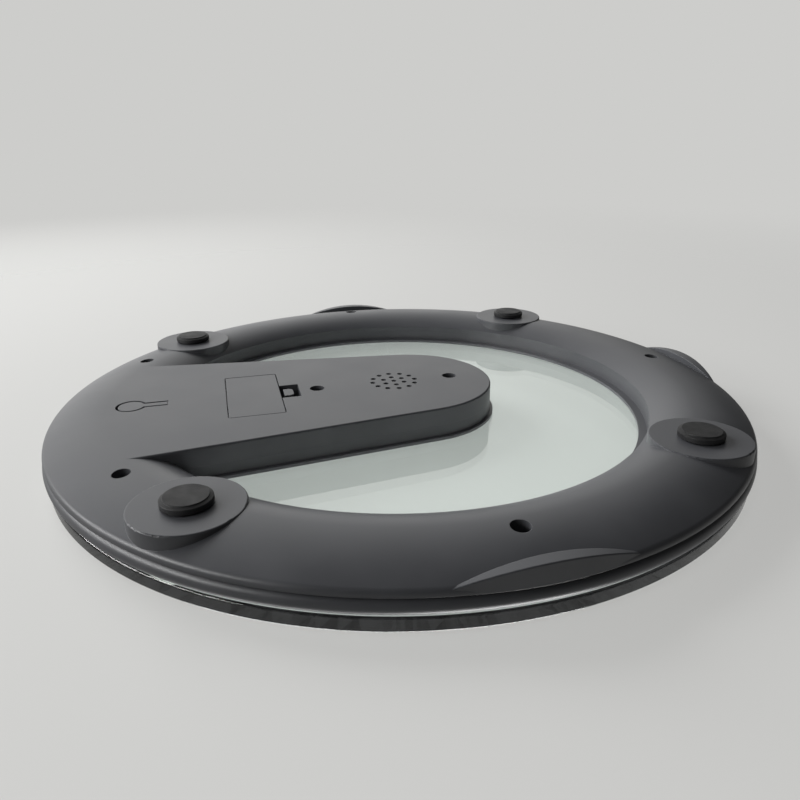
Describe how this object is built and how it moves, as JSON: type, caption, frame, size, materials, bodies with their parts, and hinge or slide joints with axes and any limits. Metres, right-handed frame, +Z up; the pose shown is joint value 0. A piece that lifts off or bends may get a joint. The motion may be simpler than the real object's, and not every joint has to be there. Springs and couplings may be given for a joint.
{
  "type": "digital bathroom scale",
  "caption": "Round bathroom scale: clear glass platform on a dark ring housing with a display tongue, rubber feet on load cells, battery door, unit button and speaker grille.",
  "frame": {"origin": "on the floor under the centre of the platform", "axes": "+Z up, out of the glass; +Y towards the display and the toes; +X to the user's right"},
  "size_m": [0.3356, 0.3356, 0.026],
  "materials": {
    "housing_plastic": "dark grey moulded ABS, satin with a fine spark texture",
    "platform_glass": "clear tempered glass, polished edge with a faint green tint",
    "bonding_tape": "black double-sided foam tape",
    "screw_steel": "blackened steel",
    "cell_jacket": "plain printed film over a steel can",
    "contact_nickel": "nickel-plated spring steel",
    "lead_jacket": "soft vinyl jacket",
    "black_plastic": "black moulded acetal",
    "board_laminate": "green solder mask on glass-fibre laminate",
    "chip_epoxy": "black epoxy",
    "display_glass": "liquid crystal cell with grey-green polariser",
    "white_plastic": "white moulded polystyrene",
    "strip_rubber": "layered conductive silicone",
    "window_acrylic": "clear acrylic",
    "stamped_steel": "zinc-plated stamped steel",
    "cone_film": "thin moulded polyester film",
    "magnet_steel": "plated ferrite magnet",
    "gasket_foam": "closed-cell foam",
    "support_silicone": "translucent silicone",
    "foot_rubber": "black moulded rubber"
  },
  "bodies": {
    "housing": {"bottom_shell": "housing_plastic", "top_shell": "housing_plastic", "glass_platform": "platform_glass", "bonding_tape_ring": "bonding_tape", "bonding_tape_tip": "bonding_tape", "housing_screws": "screw_steel", "board_screws": "screw_steel", "battery_heel": "cell_jacket", "battery_toe": "cell_jacket", "link_contact": "contact_nickel", "negative_contact": "contact_nickel", "positive_contact": "contact_nickel", "negative_lead": "lead_jacket", "positive_lead": "lead_jacket", "unit_switch_body": "black_plastic", "main_board": "board_laminate", "controller_chip": "chip_epoxy", "speech_chip": "chip_epoxy", "lcd_panel": "display_glass", "display_frame": "white_plastic", "display_reflector": "white_plastic", "zebra_strip_heel": "strip_rubber", "zebra_strip_toe": "strip_rubber", "display_window": "window_acrylic", "speaker_frame": "stamped_steel", "speaker_cone": "cone_film", "speaker_magnet": "magnet_steel", "speaker_gasket": "gasket_foam", "speaker_lead": "lead_jacket", "glass_support_toe_right": "support_silicone", "load_cell_toe_right": "stamped_steel", "cell_lead_toe_right": "lead_jacket", "glass_support_toe_left": "support_silicone", "load_cell_toe_left": "stamped_steel", "cell_lead_toe_left": "lead_jacket", "glass_support_heel_left": "support_silicone", "load_cell_heel_left": "stamped_steel", "cell_lead_heel_left": "lead_jacket", "glass_support_heel_right": "support_silicone", "load_cell_heel_right": "stamped_steel", "cell_lead_heel_right": "lead_jacket"},
    "foot_toe_right": {"foot_cup_toe_right": "black_plastic", "foot_pad_toe_right": "foot_rubber"},
    "foot_toe_left": {"foot_cup_toe_left": "black_plastic", "foot_pad_toe_left": "foot_rubber"},
    "foot_heel_left": {"foot_cup_heel_left": "black_plastic", "foot_pad_heel_left": "foot_rubber"},
    "foot_heel_right": {"foot_cup_heel_right": "black_plastic", "foot_pad_heel_right": "foot_rubber"},
    "door": {"battery_door": "housing_plastic"},
    "button": {"unit_button": "housing_plastic"},
    "switch_plunger": {"unit_switch_plunger": "black_plastic"}
  },
  "joints": [
    {"name": "foot_toe_right_press", "type": "slide", "parent": "housing", "child": "foot_toe_right", "axis": [0, 0, 1], "range_m": [0, 0.0003], "stiffness_N_per_m": 30000},
    {"name": "foot_toe_left_press", "type": "slide", "parent": "housing", "child": "foot_toe_left", "axis": [0, 0, 1], "range_m": [0, 0.0003], "stiffness_N_per_m": 30000},
    {"name": "foot_heel_left_press", "type": "slide", "parent": "housing", "child": "foot_heel_left", "axis": [0, 0, 1], "range_m": [0, 0.0003], "stiffness_N_per_m": 30000},
    {"name": "foot_heel_right_press", "type": "slide", "parent": "housing", "child": "foot_heel_right", "axis": [0, 0, 1], "range_m": [0, 0.0003], "stiffness_N_per_m": 30000},
    {"name": "door_swing", "type": "hinge", "parent": "housing", "child": "door", "pos_m": [0, 0.086, 0.004], "axis": [1, 0, 0], "range_deg": [0, 70]},
    {"name": "button_press", "type": "hinge", "parent": "housing", "child": "button", "pos_m": [0, 0.1134, 0.0051], "axis": [1, 0, 0], "range_deg": [0, 1.7], "stiffness_Nm_per_rad": 1.1},
    {"name": "plunger_press", "type": "slide", "parent": "housing", "child": "switch_plunger", "axis": [0, 0, 1], "range_m": [0, 0.0005]}
  ],
  "couplings": [
    {"joint": "plunger_press", "follows": "button_press", "m_per_rad": 0.0166}
  ]
}
